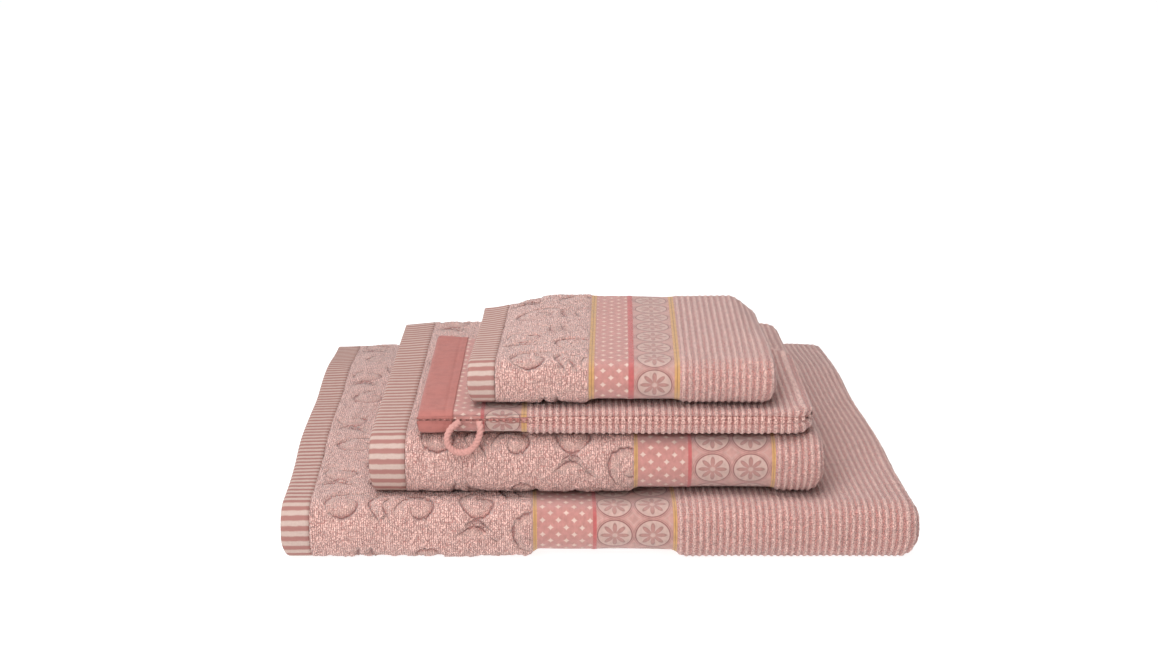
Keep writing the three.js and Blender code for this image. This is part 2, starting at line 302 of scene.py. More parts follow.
def fold_sizes(towel):
    """Sizes that follow from how a towel is folded, and its place from its CAD node's box. The
    strip's length is spent on flat runs and half turns, which gives the folded width."""
    order = LAYER_ORDER[towel.layers]
    runs = len(order)
    half = towel.cloth / 2
    pitch = towel.cloth + GAP
    radii = [abs(b - a) * pitch / 2 for a, b in zip(order, order[1:])]
    ends_left = runs % 2 == 0
    end_inset = SECOND_HEM_INSET if ends_left else TUCK_CLEARANCE
    shortened = runs * (radii[0] + half) + 2 * (radii[1] + half) + end_inset
    folded = (towel.length + shortened - math.pi * sum(radii)) / runs
    low, high = (np.array(c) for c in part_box(towel.name + "_cloth"))
    towel.order, towel.runs, towel.pitch, towel.ends_left = order, runs, pitch, ends_left
    towel.packet = runs * pitch - GAP
    towel.half_thickness = towel.packet + GAP / 2
    towel.left = -folded / 2
    towel.turn_left = -folded / 2 + radii[1] + half
    towel.turn_right = folded / 2 - radii[0] - half
    towel.flat_depth = towel.width / 2 - math.pi / 2 * towel.packet / 2
    towel.front, towel.base = low[1], low[2]
    towel.depth = high[1] - low[1]
    # The lean moves the back sideways, so the box's middle is the fold's middle plus half of that.
    towel.middle_x = (low[0] + high[0]) / 2 - towel.lean * towel.depth / 2
    towel.path = strip_path(towel)


def layer_height(towel, layer):
    """Height of a layer's middle above the half fold's middle plane."""
    return (layer + 0.5) * towel.pitch - GAP / 2


def strip_path(towel):
    """The strip's flat runs and half turns in order, with the length at which each one starts."""
    pieces = []
    start = 0.0
    for index, layer in enumerate(towel.order):
        to_right = index % 2 == 0
        last = index == towel.runs - 1
        side = 1 if to_right else -1
        from_x = towel.left if index == 0 else (towel.turn_left if to_right else towel.turn_right)
        to_x = towel.turn_right if to_right else towel.turn_left
        if last:
            inset = SECOND_HEM_INSET if towel.ends_left else 0
            to_x = towel.left + inset if towel.ends_left else towel.turn_right - TUCK_CLEARANCE
        length = abs(to_x - from_x)
        height = layer_height(towel, layer)
        pieces.append(dict(kind="run", start=start, length=length, x=from_x, h=height, side=side))
        start += length
        if not last:
            following = layer_height(towel, towel.order[index + 1])
            radius = abs(height - following) / 2
            pieces.append(dict(
                kind="turn", start=start, length=math.pi * radius, x=to_x, radius=radius,
                h=(height + following) / 2, bulge=side, first=np.sign(height - following),
            ))
            start += math.pi * radius
    towel.strip_length = start
    return pieces


def strip_point(towel, u, n):
    """Section point of the strip at length u and at offset n to its left side. On a run it is the
    run's start plus the length along it; on a half turn it goes round the turn's centre."""
    x = np.zeros_like(u)
    h = np.zeros_like(u)
    for piece in towel.path:
        last = piece is towel.path[-1]
        inside = (u >= piece["start"]) & ((u < piece["start"] + piece["length"]) | last)
        along = u[inside] - piece["start"]
        if piece["kind"] == "run":
            x[inside] = piece["x"] + piece["side"] * along
            h[inside] = piece["h"] + piece["side"] * n[inside]
        else:
            angle = along / piece["radius"]
            left = piece["bulge"] * piece["first"]
            radius = piece["radius"] + left * n[inside]
            x[inside] = piece["x"] + piece["bulge"] * radius * np.sin(angle)
            h[inside] = piece["h"] + piece["first"] * radius * np.cos(angle)
    return x, h


def roll_outline(towel):
    """The front roll of the showing layer as a rounded square: depth and height are the sine and
    cosine of an angle, each raised to the towel's squareness, and the length is summed along it."""
    angle = np.linspace(0, math.pi, 721)
    depth = -np.abs(np.sin(angle)) ** towel.squareness
    height = np.sign(np.cos(angle)) * np.abs(np.cos(angle)) ** towel.squareness
    steps = np.hypot(np.diff(depth), np.diff(height)) * towel.half_thickness
    return angle, np.concatenate([[0], np.cumsum(steps)])


def fold_rows(towel, near, far, under):
    """Rows from the top selvedge, round the front, to the selvedge underneath. The spacing goes
    from far at the back to near at the front. Each row has its share of the flat part, its angle
    round the roll, its length v from the middle of the roll's front, and the share of the cloth's
    thickness there, which falls along a quarter circle at the selvedge."""
    angle, length = roll_outline(towel)
    flat = towel.flat_depth
    rounding = towel.cloth / 2
    edge = rounding * (1 - np.cos(np.linspace(0.12, 1, 5) * math.pi / 2))
    count = int(2 * (flat - edge[-1]) / (near + far))
    share = np.linspace(0, 1, count + 1)[1:]
    top = (near * share + (far - near) / 2 * share ** 2) / (near + (far - near) / 2)
    top = np.concatenate([top * (flat - edge[-1]), flat - edge[-2::-1]])
    roll = np.linspace(0, length[-1], int(length[-1] / near) + 1)
    below = np.linspace(0, flat - edge[-1], int(flat / under) + 1)[1:]
    below = np.concatenate([below, flat - edge[-2::-1]])
    half = length[-1] / 2
    from_edge = np.concatenate([flat - top[::-1], np.full(len(roll), flat), flat - below])
    inward = np.clip(from_edge / rounding, 0, 1)
    return SimpleNamespace(
        share=np.concatenate([top[::-1] / flat, np.zeros(len(roll)), below / flat]),
        angle=np.concatenate([
            np.zeros(len(top)), np.interp(roll, length, angle), np.full(len(below), math.pi)]),
        v=np.concatenate([half + top[::-1], half - roll, -half - below]),
        selvedge=np.sqrt(1 - (1 - inward) ** 2),
    )


def fold_in_half(towel, x, h, rows):
    """Carries section points (rows, columns) round the half fold. A point at height h goes round
    the front on the rounded square of radius h, and its selvedge is stepped by its height."""
    radius = h + GAP / 2
    share = rows.share[:, None]
    angle = rows.angle[:, None]
    sine = np.abs(np.sin(angle)) ** towel.squareness
    cosine = np.sign(np.cos(angle)) * np.abs(np.cos(angle)) ** towel.squareness
    stagger = BACK_STAGGER * math.pi / 2 * (h - towel.packet / 2)
    depth = share * (towel.flat_depth - stagger) - radius * sine
    y = towel.half_thickness + depth
    z = towel.half_thickness + radius * cosine
    return np.stack([
        towel.middle_x + x + towel.lean * y,
        towel.front + y,
        towel.base + z,
    ], axis=-1)


# ---- relief of the cloth ----------------------------------------------------

def smooth_step(value, low, high):
    """0 below low, 1 above high, and an even S between."""
    t = np.clip((value - low) / (high - low), 0, 1)
    return t * t * (3 - 2 * t)


def spiral(centre, outer, inner, start, turns, count=90):
    """A curl that runs in from the outer radius to the inner one, in even steps of angle."""
    t = np.linspace(0, 1, count)
    radius = outer + (inner - outer) * t ** 0.8
    angle = start + 2 * math.pi * turns * t
    return np.stack([centre[0] + radius * np.cos(angle), centre[1] + radius * np.sin(angle)], -1)


def bow(start, end, bulge, count=44):
    """An arc between two points that stands off the straight line by bulge times its length, and
    more so towards its end."""
    start, end = np.array(start), np.array(end)
    t = np.linspace(0, 1, count)[:, None]
    across = np.array([-(end - start)[1], (end - start)[0]]) * bulge
    return start + (end - start) * t + np.sin(math.pi * t ** 1.3) * across


TILE_U = 80 * MM
TILE_V = 96 * MM
# Curls of one tile: centre and outer radius in tile widths, angle where it starts, and turns.
CURLS = (
    ((0.25, 0.24), 0.21, 0.3, 1.20),
    ((0.76, 0.20), 0.17, 3.6, -1.10),
    ((0.56, 0.62), 0.21, 5.2, -1.20),
    ((0.19, 0.84), 0.17, 1.8, 1.10),
    ((0.80, 0.98), 0.18, 3.0, 1.20),
)
# Arcs of one tile: start, end and how far each stands off the straight line, as a share of it.
BOWS = (
    ((0.49, 0.08), (0.50, 0.38), 0.26),
    ((0.57, 0.10), (0.57, 0.34), 0.22),
    ((0.80, 0.70), (0.98, 0.42), 0.40),
    ((0.34, 1.12), (0.50, 0.88), -0.30),
    ((0.42, 1.12), (0.57, 0.93), -0.26),
    ((0.30, 0.54), (0.02, 0.58), -0.36),
    ((0.28, 0.62), (0.06, 0.66), -0.30),
)


def cut_line(points, depth):
    """A line's points in metres, with the unit direction to its hollow side and its depth there."""
    tangent = np.gradient(points, axis=0)
    tangent /= np.linalg.norm(tangent, axis=1)[:, None]
    hollow = np.gradient(tangent, axis=0)
    hollow /= np.maximum(np.linalg.norm(hollow, axis=1), 1e-9)[:, None]
    return np.concatenate([points * TILE_U, hollow, depth[:, None]], axis=1)


def scroll_lines():
    """The sculpted pile's curls and arcs in one tile. Each runs out to nothing at both ends."""
    curls = [spiral(centre, outer, 0.3 * outer, start, turns) for centre, outer, start, turns in CURLS]
    lines = []
    for line in curls + [bow(*one) for one in BOWS]:
        share = np.linspace(0, 1, len(line))
        lines.append(cut_line(line, np.sin(math.pi * share) ** 0.5))
    return np.concatenate(lines)


def scroll_pattern(u, v):
    """For each place: the distance to the nearest line of the scroll tile, how far the place is on
    that line's hollow side (-1 to 1), and the line's depth. The tile repeats along both ways and
    drops by half a tile in every other column."""
    lines = scroll_lines()
    column = np.floor(u / TILE_U)
    local_u = u - column * TILE_U
    local_v = np.mod(v + (column % 2) * TILE_V / 2, TILE_V)
    distance = np.full(u.shape, 1.0)
    side = np.zeros(u.shape)
    depth = np.zeros(u.shape)
    for shift in (-TILE_V, 0.0, TILE_V):
        near = lines[(lines[:, 1] + shift > -0.15 * TILE_V) & (lines[:, 1] + shift < 1.15 * TILE_V)]
        for start in range(0, len(near), 16):
            block = near[start:start + 16]
            gap_u = local_u[..., None] - block[:, 0]
            gap_v = local_v[..., None] - block[:, 1] - shift
            gap = np.hypot(gap_u, gap_v)
            towards = (gap_u * block[:, 2] + gap_v * block[:, 3]) / np.maximum(gap, 1e-6)
            closest = gap.argmin(axis=-1)[..., None]
            closer = gap.min(axis=-1) < distance
            side = np.where(closer, np.take_along_axis(towards, closest, -1)[..., 0], side)
            depth = np.where(closer, block[closest[..., 0], 4], depth)
            distance = np.minimum(distance, gap.min(axis=-1))
    return distance, side, depth


def wander(a, b, seed, scale, octaves=4):
    """Smooth seeded unevenness of about one unit: a sum of waves in random directions."""
    random = np.random.default_rng(RANDOM_SEED + seed)
    total = np.zeros(np.broadcast(a, b).shape)
    for octave in range(octaves):
        for _ in range(5):
            turn = random.uniform(0, 2 * math.pi)
            phase = random.uniform(0, 2 * math.pi)
            wave = 2 * math.pi / scale * (1.7 ** octave) * random.uniform(0.7, 1.3)
            total += np.sin(wave * (a * math.cos(turn) + b * math.sin(turn)) + phase) / (1.5 ** octave)
    return total / 4


PILE_DROP = 2.0 * MM          # the woven ground lies this far below the tops of the pile
SHELF = 0.5                   # the short pile beside a scroll line, as a share of that
SHELF_WIDTH = 8 * MM
LINE_RIDGE = 0.35 * MM        # the gold and coral lines stand this far out of their band
RIB_DROP = 0.6 * MM           # between two ribs
WOVEN_DROP = 1.3 * MM         # in the woven bands
LINE_HALF = 0.75 * MM         # half the width of a scroll line where it is deepest
FAR_FROM_LINE = 30.0          # line widths that stand for no line nearby
TUFT = 0.35 * MM              # unevenness from loop to loop
LUMP = 0.3 * MM               # and over several loops


def cloth_relief(zones, hem_end, u, v, seed):
    """How far the surface lies below the pile's tops, with the values that the mesh carries: how
    full the pile is and how high each tuft stands, both from 0 to 1, and the distance to a scroll
    line, signed by its side and in line widths.
    Terry: full pile cut by scroll lines, each with a shelf of shorter pile on its hollow side.
    Ribs: a raised cosine at the rib pitch. Bands: flat and low, with the gold and coral lines as
    small ridges."""
    random = np.random.default_rng(RANDOM_SEED + seed)
    shape = np.broadcast(u, v).shape
    u = np.broadcast_to(u, shape)
    v = np.broadcast_to(v, shape)
    full = np.ones(shape)
    line = np.full(shape, FAR_FROM_LINE)
    terry = (u < zones.terry_end) & (u > 0)
    reach = terry & (u < SCROLLS_END)
    if reach.any():
        columns = np.nonzero(reach.any(axis=0))[0]
        block = slice(columns[0], columns[-1] + 1)
        near_u, near_v = u[:, block], v[:, block]
        step_down = random.normal(0, 0.45 * MM, near_u.shape[1])[None, :]
        bent_u = near_u - hem_end + 1.5 * MM * wander(near_u, near_v, seed + 4, 0.045, 2)
        bent_v = near_v + 1.5 * MM * wander(near_u, near_v, seed + 5, 0.045, 2) + step_down
        distance, side, depth = scroll_pattern(bent_u, bent_v)
        depth = depth * smooth_step(wander(near_u, near_v, seed + 6, 0.035), -1.3, -0.2)
        groove = 1 - smooth_step(distance, 0.3 * MM, 1.5 * MM)
        shelf = (1 - smooth_step(distance, 0.2 * SHELF_WIDTH, SHELF_WIDTH)) * SHELF
        shelf = shelf * smooth_step(side, -0.3, 0.3)
        widths = np.sign(side) * distance / (LINE_HALF * np.maximum(depth, 0.02) ** 0.5)
        line[:, block] = np.where(
            reach[:, block], widths.clip(-FAR_FROM_LINE, FAR_FROM_LINE), FAR_FROM_LINE)
        cut = 1 - np.maximum(groove, shelf) * depth
        full[:, block] = np.where(reach[:, block], cut, full[:, block])
    # Loops stand in columns, so neighbours along v are alike.
    tuft = random.normal(0, 1, shape)
    tuft = ((tuft + np.roll(tuft, 1, axis=0)) / math.sqrt(2)).clip(-1.8, 1.8)
    drop = PILE_DROP * (1 - full) + TUFT * (0.25 + 0.75 * full) * 0.5 * tuft
    drop = drop + LUMP * full * wander(u, v, seed + 7, 0.007, 2)
    # Ribs.
    ribbed = smooth_step(u, zones.ribs - 0.3 * MM, zones.ribs + 0.3 * MM)
    wave = 0.5 - 0.5 * np.cos(2 * math.pi * (u - zones.ribs) / RIB)
    ridge = smooth_step(wave, 0.15, 0.85)
    rib_drop = RIB_DROP * (1 - ridge) + 0.10 * MM * tuft
    drop = drop * (1 - ribbed) + rib_drop * ribbed
    full = full * (1 - ribbed) + ridge * ribbed
    # Woven bands.
    edge = 0.5 * MM
    woven = smooth_step(u, zones.terry_end - edge, zones.terry_end + edge)
    woven = woven * (1 - smooth_step(u, zones.ribs - edge, zones.ribs + edge))
    ridges = np.zeros(shape)
    lines = (
        (zones.terry_end + zones.gold / 2, zones.gold),
        ((zones.coral + zones.flowers) / 2, zones.flowers - zones.coral),
        (zones.ribs - zones.gold / 2, zones.gold),
    )
    for centre, width in lines:
        ridges += LINE_RIDGE * (1 - smooth_step(np.abs(u - centre), width * 0.25, width * 0.6))
    drop = drop * (1 - woven) + (WOVEN_DROP - ridges) * woven
    full = full * (1 - woven)
    # A proud row of loops beside the hem.
    beside = np.exp(-((u - hem_end - 1.6 * MM) / (1.3 * MM)) ** 2)
    drop = drop * (1 - beside) - 0.2 * MM * beside
    return drop, {"pile": full, "tuft": 0.5 - tuft / 3.6, "line": line}


# ---- towels -----------------------------------------------------------------

def strip_columns(towel, start, stop, fine):
    """Lengths along the strip for a grid's columns: close together on the visible first run and
    right turn where fine, five to a rib there, and few on the hidden runs."""
    zones = towel.band
    first_turn = towel.path[1]
    visible_end = first_turn["start"] + first_turn["length"]
    if fine:
        parts = [
            np.arange(start, zones.terry_end, WALE),
            np.arange(zones.terry_end, zones.ribs, 1.4 * MM),
            np.arange(zones.ribs, visible_end, RIB / 5),
        ]
    else:
        parts = [np.linspace(start, first_turn["start"], 7),
                 first_turn["start"] + first_turn["length"] * np.linspace(0.05, 1, 9)]
    for piece in towel.path[2:]:
        count = 4 if piece["kind"] == "run" else 7
        parts.append(piece["start"] + piece["length"] * np.linspace(0.02, 0.98, count))
    columns = np.concatenate(parts)
    columns = columns[(columns >= start) & (columns < stop - 0.5 * MM)]
    return np.unique(np.concatenate([[start], columns, [stop]]))


def settle(towel, points, u, v):
    """The give of real cloth. Heights sink towards the open edges at the back and at both ends, in
    even S curves of the place, and keep a slow unevenness; the woven band draws up underneath."""
    x = points[..., 0] - towel.middle_x - towel.lean * (points[..., 1] - towel.front)
    y = points[..., 1] - towel.front
    z = points[..., 2] - towel.base
    rise = z / (2 * towel.half_thickness)
    back = y / towel.depth
    side = x / -towel.left
    give = towel.give
    sink = give.back * smooth_step(back, give.back_from, 1.0)
    sink += give.left * smooth_step(-side, give.left_from, 1.0) * smooth_step(back, -0.3, 1.0)
    sink += give.right * smooth_step(side, give.right_from, 1.0) * smooth_step(back, 0.1, 1.0)
    slow = wander(x, y, int(10 * towel.phase), 0.16, 3)
    points[..., 2] += rise * (0.7 * MM * slow - sink)
    # The band is thinner than the pile, so its underside is drawn up and in at the front.
    woven = smooth_step(u, towel.band.terry_end - 4 * MM, towel.band.terry_end + 4 * MM)
    woven = woven * (1 - smooth_step(u, towel.band.ribs - 3 * MM, towel.band.ribs + 5 * MM))
    low = smooth_step(-v, -8 * MM, 22 * MM) * (1 - smooth_step(y, 10 * MM, 45 * MM))
    points[..., 2] += give.band * woven * low * (1 - smooth_step(z, 0, 1.5 * towel.half_thickness))
    points[..., 1] += 0.8 * MM * wander(x, z * 2, int(10 * towel.phase) + 5, 0.12, 3)
    # Both ends are a little shorter near the floor and wander along their length.
    corner = smooth_step(np.abs(side), 0.86, 1.0) * (1 - smooth_step(rise, 0.0, 0.45))
    points[..., 0] -= np.sign(side) * 2.0 * MM * corner * (1 - smooth_step(back, 0.0, 0.25))
    ends = smooth_step(np.abs(side), 0.8, 1.0)
    points[..., 0] += give.sway * ends * wander(y, z + 0.4 * side, int(10 * towel.phase) + 8, 0.2, 2)
    points[..., 2] = np.maximum(points[..., 2], towel.base)
    return points


def towel_cloth(towel):
    """The towel's cloth between its two hems: the strip's left and right sides as one closed loop
    of columns, carried along the rows and closed at the selvedges."""
    start = towel.hem + GAP
    stop = towel.strip_length - towel.hem - GAP
    rows = fold_rows(towel, towel.near, towel.far, 30 * MM)
    left_u = strip_columns(towel, start, stop, True)
    right_u = strip_columns(towel, start, stop, False)
    count = len(rows.v)
    u = np.broadcast_to(np.concatenate([left_u, right_u[::-1]]), (count, len(left_u) + len(right_u)))
    v = np.broadcast_to(rows.v[:, None], u.shape)
    half = towel.cloth / 2
    drop, values = cloth_relief(towel.band, towel.hem, left_u[None, :], v[:, :len(left_u)], 11)
    # The showing side carries the relief; the other side stays at the cloth's half thickness.
    right_shape = (count, len(right_u))
    selvedge = rows.selvedge[:, None]
    offset = np.concatenate([half - drop, np.full(right_shape, -half)], axis=1) * selvedge
    x, h = strip_point(towel, u.copy(), offset)
    points = settle(towel, fold_in_half(towel, x, h, rows), u, v)
    width = len(left_u)
    uv = np.stack([u, v], axis=-1)
    return closed_shell(
        towel.name + "_terry", points[:, :width], points[:, width:][:, ::-1], left_u, right_u,
        uv[:, :width], uv[:, width:][:, ::-1], values)


def hem_strip(towel, which):
    """A striped hem: a flat strip with a rounded free edge, its section a closed loop round a
    thin stadium, each stripe a little fuller in its middle."""
    half = towel.cloth * HEM_THICKNESS_SHARE / 2
    outer = which == "outer"
    if outer:
        free, sewn = 0.0, towel.hem
        shift = towel.cloth / 2 - half
    else:
        free, sewn = towel.strip_length, towel.strip_length - towel.hem
        shift = 0.0
    inward = np.sign(sewn - free)
    turn = np.linspace(math.pi / 2, 3 * math.pi / 2, 9)
    flat = np.linspace(0, 1, 7)[1:]
    width = abs(sewn - free)
    # Loop of (distance from the free edge, offset): out along the top, round the edge and back.
    top = np.stack([half + (width - half) * flat[::-1], np.full(6, half)], -1)
    edge = np.stack([half + half * np.cos(turn), half * np.sin(turn)], -1)
    bottom = np.stack([half + (width - half) * flat, np.full(6, -half)], -1)
    loop = np.concatenate([top, edge, bottom])
    rows = fold_rows(towel, 0.95 * MM, 1.2 * MM, 12 * MM)
    shape = (len(rows.v), len(loop))
    stripe = 0.16 * MM * np.abs(np.cos(math.pi * rows.v / STRIPE * 2))[:, None]
    fullness = np.clip(loop[:, 0] / (3 * MM), 0.3, 1) * np.clip((width - loop[:, 0]) / (2 * MM), 0, 1)
    offset = loop[:, 1] * HEM_FLATTENED + np.sign(loop[:, 1]) * stripe * fullness + shift
    u = np.broadcast_to(free + inward * loop[:, 0], shape)
    v = np.broadcast_to(rows.v[:, None], shape)
    x, h = strip_point(towel, u.copy(), offset)
    points = settle(towel, fold_in_half(towel, x, h, rows), u, v)
    count = len(loop)
    quads = grid_faces(shape[0], count, True)
    ends = np.arange(count)[None, :]
    last = (shape[0] - 1) * count
    faces = [quads, ends[:, ::-1], ends + last]
    across = np.where(outer, u, towel.strip_length - u)
    uv = np.stack([across, v], axis=-1).reshape(-1, 2)
    return make_mesh(f"{towel.name}_{which}_hem", points.reshape(-1, 3), faces, uv)


# ---- hanging loop -----------------------------------------------------------

def smooth_route(points, count):
    """Catmull-Rom curve through the points, sampled evenly by parameter."""
    padded = np.concatenate([[2 * points[0] - points[1]], points, [2 * points[-1] - points[-2]]])
    t = np.linspace(0, len(points) - 1, count)
    index = np.minimum(t.astype(int), len(points) - 2)
    local = (t - index)[:, None]
    a, b, c, d = (padded[index + k] for k in range(4))
    return 0.5 * (2 * b + (c - a) * local + (2 * a - 5 * b + 4 * c - d) * local ** 2
                  + (3 * b - a - 3 * c + d) * local ** 3)


def loop_route():
    """The loop's centreline in the frame, from the mitt's cuffs."""
    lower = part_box("mitt_lower_cuff")
    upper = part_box("mitt_upper_cuff")
    origin = np.array([
        lower[0][0],
        lower[0][1] - LOOP_DIAMETER / 2 - GAP,
        (lower[0][2] + upper[1][2]) / 2,
    ])
    return origin + np.array(LOOP_ROUTE_MM, dtype=float) * MM


def twisted_loop():
    """Twisted cord: at each step along the route a ring whose radius has one lobe per strand, the
    lobes turning once per twist length, on a frame that follows the route without spinning."""
    route = smooth_route(loop_route(), 150)
    along = np.concatenate([[0], np.cumsum(np.linalg.norm(np.diff(route, axis=0), axis=1))])
    tangent, first = steady_axis(route, (0.0, 1.0, 0.0))
    second = np.cross(tangent, first)
    angle = np.linspace(0, 2 * math.pi, 18, endpoint=False)
    lobes = np.abs(np.cos(LOOP_STRANDS / 2 * (angle[None, :] - 2 * math.pi * along[:, None] / LOOP_TWIST)))
    radius = LOOP_DIAMETER / 2 * (0.72 + 0.34 * lobes ** 0.7)
    piece = closed_tube("twisted_loop", route, first, second, radius, along, LOOP_DIAMETER / 2)
    return piece, route, float(along[-1])


# ---- wash mitt --------------------------------------------------------------

SEAM_RISE = 1.6 * MM          # the mitt's seam lies this far above its middle
SEAM_INSET = 1.4 * MM         # and this far in from the lips above and below it
SEAM_HALF = 2.3 * MM          # half its height on the panels
LIP = 2.5 * MM                # cloth between the seam and a lip's foremost line
UPPER_ROUND = 7 * MM          # width of the rounded edge on the upper side
LOWER_ROUND = 5 * MM          # and on the lower one
LIP_SHARE = 0.36              # height of that line, of the whole side
CUFF_LAP = 0.7 * MM           # the cuff laps over the panel by this much
CUFF_STEP = 0.7 * MM          # between two rows of a cuff
CUFF_STITCHING = 15.5 * MM    # from the mouth to its row of stitches
MOUTH_ROUND = 3 * MM          # the turned edge at the mouth


def mitt_sizes():
    """The mitt's outline and heights from its CAD nodes. The back edge slants from the cuffs to
    the narrower tip, whose corners are round."""
    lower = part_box("mitt_lower_cuff")
    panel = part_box("mitt_lower_panel")
    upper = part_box("mitt_upper_panel")
    return SimpleNamespace(
        left=lower[0][0], tip=panel[1][0], front=lower[0][1], back=lower[1][1],
        bottom=lower[0][2], top=upper[1][2],
        seam=(lower[0][2] + upper[1][2]) / 2 + SEAM_RISE,
        panel_left=panel[0][0], cuff_right=lower[1][0],
    )


def mitt_edges(mitt, x):
    """Front and back edge of the outline at x, pulled in along a quarter circle at the tip."""
    corner = MITT.corner
    into = np.clip(x - (mitt.tip - corner), 0, corner)
    pull = corner - np.sqrt(corner ** 2 - into ** 2)
    width = mitt.back - mitt.front
    slant = (width - MITT.tip_width) * (x - mitt.left) / (mitt.tip - mitt.left)
    return mitt.front + pull, mitt.back - slant - pull


def edge_distance(mitt, x, y):
    """Distance in from the outline: to the straight edges, or to the corner's arc near the tip."""
    corner = MITT.corner
    slant = (mitt.back - mitt.front - MITT.tip_width) * (x - mitt.left) / (mitt.tip - mitt.left)
    to_tip = mitt.tip - x
    side = np.minimum(y - mitt.front, mitt.back - slant - y)
    in_corner = (side < corner) & (to_tip < corner)
    arc = corner - np.hypot(corner - side, corner - to_tip)
    return np.where(in_corner, arc, np.minimum(side, to_tip))


def seam_half(mitt, x):
    """Half the seam's height: thin at the cuffs, full along the panels and thinner at the tip."""
    from_cuff = smooth_step(x - mitt.left, 24 * MM, 90 * MM)
    to_tip = smooth_step(mitt.tip - x, 4 * MM, 24 * MM)
    return 0.3 * MM + (SEAM_HALF - 0.3 * MM) * from_cuff * (0.35 + 0.65 * to_tip)


def lip_curve(inward, reach, rounding):
    """Where the cloth at a length inward from the seam lies: how far in from the outline, and how
    far above the seam. It first comes out along a quarter sine to the lip's foremost line, then
    goes over along a quarter of an ellipse."""
    out = np.sin(math.pi / 2 * np.clip(inward / LIP, 0, 1))
    turn = math.pi / 2 * np.clip((inward - LIP) / (rounding - LIP), 0, 1)
    inset = np.where(inward < LIP, SEAM_INSET * (1 - out), rounding * (1 - np.cos(turn)))
    inset = np.where(inward > rounding, inward, inset)
    foremost = LIP_SHARE * reach
    low = foremost * (1 - np.cos(math.pi / 2 * np.clip(inward / LIP, 0, 1)))
    rise = np.where(inward < LIP, low, foremost + (reach - foremost) * np.sin(turn))
    return inset, rise


def mitt_cross_columns(fine):
    """Shares across the mitt: close together at both edges, where the cloth curves to the seam."""
    if not fine:
        edge = np.array([0, 0.01, 0.03, 0.06, 0.1])
        return np.concatenate([edge, np.linspace(0.16, 0.84, 12), 1 - edge[::-1]])
    edge = np.linspace(0, 0.075, 24)
    return np.concatenate([edge, np.linspace(0.075, 0.925, 78)[1:-1], 1 - edge[::-1]])


def surface_normals(points):
    """Unit normals of a grid of points: the cross product of its two directions."""
    normal = np.cross(np.gradient(points, axis=0), np.gradient(points, axis=1))
    return normal / np.maximum(np.linalg.norm(normal, axis=-1, keepdims=True), 1e-12)


def mitt_face(name, upper, stations, relief):
    """One side of the mitt. Across each station the outer face follows the lip's curve up from the
    seam and then stays level; the inner face follows it a cloth's thickness away. relief(u, v) is
    the pile's drop and the values that the mesh carries."""
    mitt = mitt_sizes()
    sign = 1 if upper else -1
    reach = (mitt.top - mitt.seam) if upper else (mitt.seam - mitt.bottom)
    rounding = UPPER_ROUND if upper else LOWER_ROUND
    front, back = mitt_edges(mitt, stations)
    mouth = np.sqrt(1 - (1 - np.clip((stations - mitt.left) / MOUTH_ROUND, 0, 1)) ** 2)[:, None]

    def face(share, inner):
        y = front[:, None] + (back - front)[:, None] * share
        x = np.broadcast_to(stations[:, None], y.shape)
        inward = np.maximum(edge_distance(mitt, x, y), 0)
        above_seam = seam_half(mitt, x) + 0.1 * MM
        inset, rise = lip_curve(inward, reach - 0.6 * MM - above_seam, rounding)
        slow = 0.5 * MM * wander(x, y, 21 if upper else 22, 0.09, 3) * rise / reach
        outer = above_seam + rise + slow
        small = 0.2 * MM
        towards_x = edge_distance(mitt, x - small, y) - edge_distance(mitt, x + small, y)
        towards_y = edge_distance(mitt, x, y - small) - edge_distance(mitt, x, y + small)
        length = np.maximum(np.hypot(towards_x, towards_y), small)
        outward = inward - inset
        x = x + outward * towards_x / length
        y = y + outward * towards_y / length
        cloth = np.minimum(MITT.panel, outer - 0.3 * MM)
        middle = outer - cloth / 2
        height = middle + (-1 if inner else 1) * cloth / 2 * (0.25 + 0.75 * mouth)
        return np.stack([x, y, mitt.seam + sign * height], -1)

    outer_share = mitt_cross_columns(True)
    inner_share = mitt_cross_columns(False)
    outer = face(outer_share, False)
    inner = face(inner_share, True)
    steps = np.linalg.norm(np.diff(outer[:, :, 1:], axis=1), axis=-1)
    v = np.concatenate([np.zeros((len(stations), 1)), np.cumsum(steps, axis=1)], axis=1)
    u = np.broadcast_to(stations[:, None] - mitt.left, v.shape)
    drop, values = relief(u, v)
    seam_gap = np.abs(outer[..., 2] - mitt.seam) - seam_half(mitt, stations)[:, None]
    drop = drop * smooth_step(seam_gap, 0.1 * MM, 1.2 * MM)
    normals = surface_normals(outer)
    outer = outer - normals * drop[..., None] * sign * np.sign(normals[:, :, 2:].mean())
    inner_uv = np.stack(np.broadcast_arrays(
        stations[:, None] - mitt.left, inner_share[None, :] * v[:, -1:]), -1)
    return closed_shell(name, outer, inner, outer_share, inner_share,
                        np.stack([u, v], -1), inner_uv, values)


def mitt_panels():
    """Both terry sides of the mitt, from the cuffs to the tip, with rows close enough for ribs."""
    mitt = mitt_sizes()
    zones = MITT.band
    start = mitt.panel_left
    rib_start = mitt.left + zones.ribs
    tip_rows = mitt.tip - np.array([0.3, 0.02]) * MM
    stations = np.concatenate([
        np.arange(start, rib_start, 1.2 * MM),
        np.arange(rib_start, mitt.tip - 0.6 * MM, RIB / 6),
        tip_rows,
    ])

    def relief(u, v):
        return cloth_relief(zones, 0.0, u, v, 31)

    return [mitt_face(f"mitt_{side}_terry", side == "upper", stations, relief)
            for side in ("upper", "lower")]


